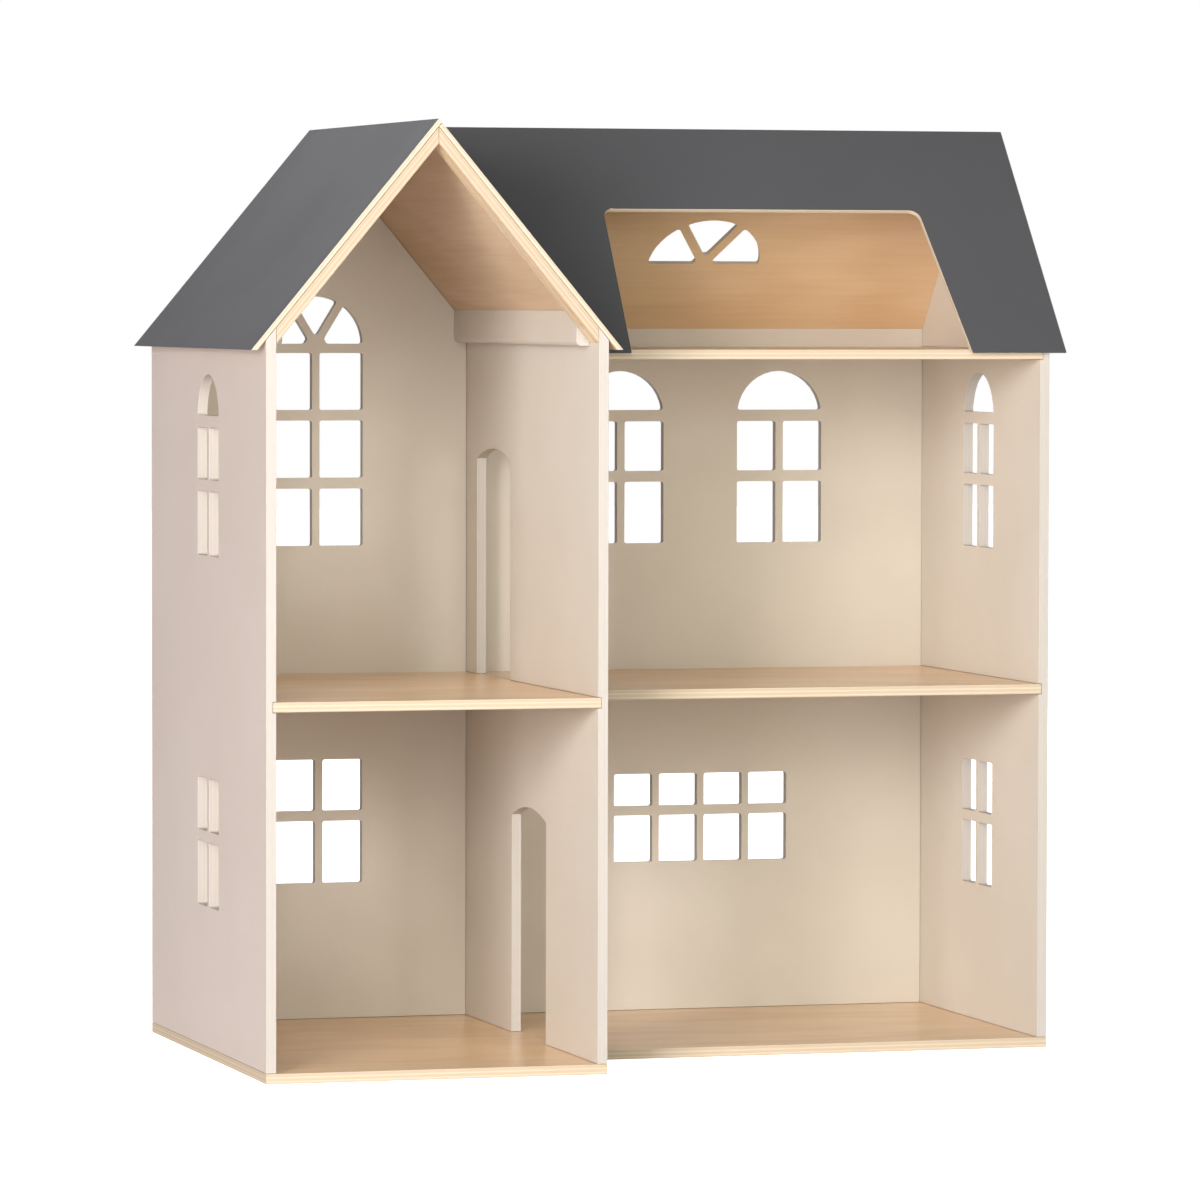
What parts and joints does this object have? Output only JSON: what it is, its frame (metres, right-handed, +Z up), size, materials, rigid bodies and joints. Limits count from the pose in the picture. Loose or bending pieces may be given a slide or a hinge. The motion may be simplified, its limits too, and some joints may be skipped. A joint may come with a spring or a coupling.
{
  "type": "wooden dollhouse",
  "caption": "Open-fronted wooden dollhouse with a gabled left wing, a set-back main wing, arched windows, doorways and dark pitched roofs with a cut-out.",
  "frame": {"origin": "middle of the footprint's bounding box, on the ground", "axes": "+X right along the open front, +Y to the back wall, +Z up"},
  "size_m": [0.703, 0.42, 0.75],
  "materials": {
    "cream_paint": "satin cream paint",
    "birch_ply": "clear satin lacquer on birch",
    "roof_paint": "matt anthracite paint",
    "beech_dowel": "raw beech",
    "zinc_screw": "bright zinc plate"
  },
  "bodies": {
    "root": {"left_wall": "cream_paint", "middle_wall": "cream_paint", "right_wall": "cream_paint", "back_wall_left": "cream_paint", "back_wall_main": "cream_paint", "roof_rail_left": "cream_paint", "roof_rail_middle": "cream_paint", "base_left": "birch_ply", "base_main": "birch_ply", "upper_floor_left": "birch_ply", "upper_floor_main": "birch_ply", "attic_floor": "birch_ply", "gable_rafter_left": "birch_ply", "gable_rafter_right": "birch_ply", "roof_left_outer": "roof_paint", "roof_left_inner": "roof_paint", "roof_main_front": "roof_paint", "roof_main_rear": "roof_paint", "base_dowel_front": "beech_dowel", "base_dowel_rear": "beech_dowel", "screw_left_wall_1": "zinc_screw", "screw_left_wall_2": "zinc_screw", "screw_middle_wall_1": "zinc_screw", "screw_middle_wall_2": "zinc_screw", "screw_right_wall_1": "zinc_screw", "screw_right_wall_2": "zinc_screw", "screw_back_wall_left_1": "zinc_screw", "screw_back_wall_left_2": "zinc_screw", "screw_back_wall_main_1": "zinc_screw", "screw_back_wall_main_2": "zinc_screw"}
  },
  "joints": []
}
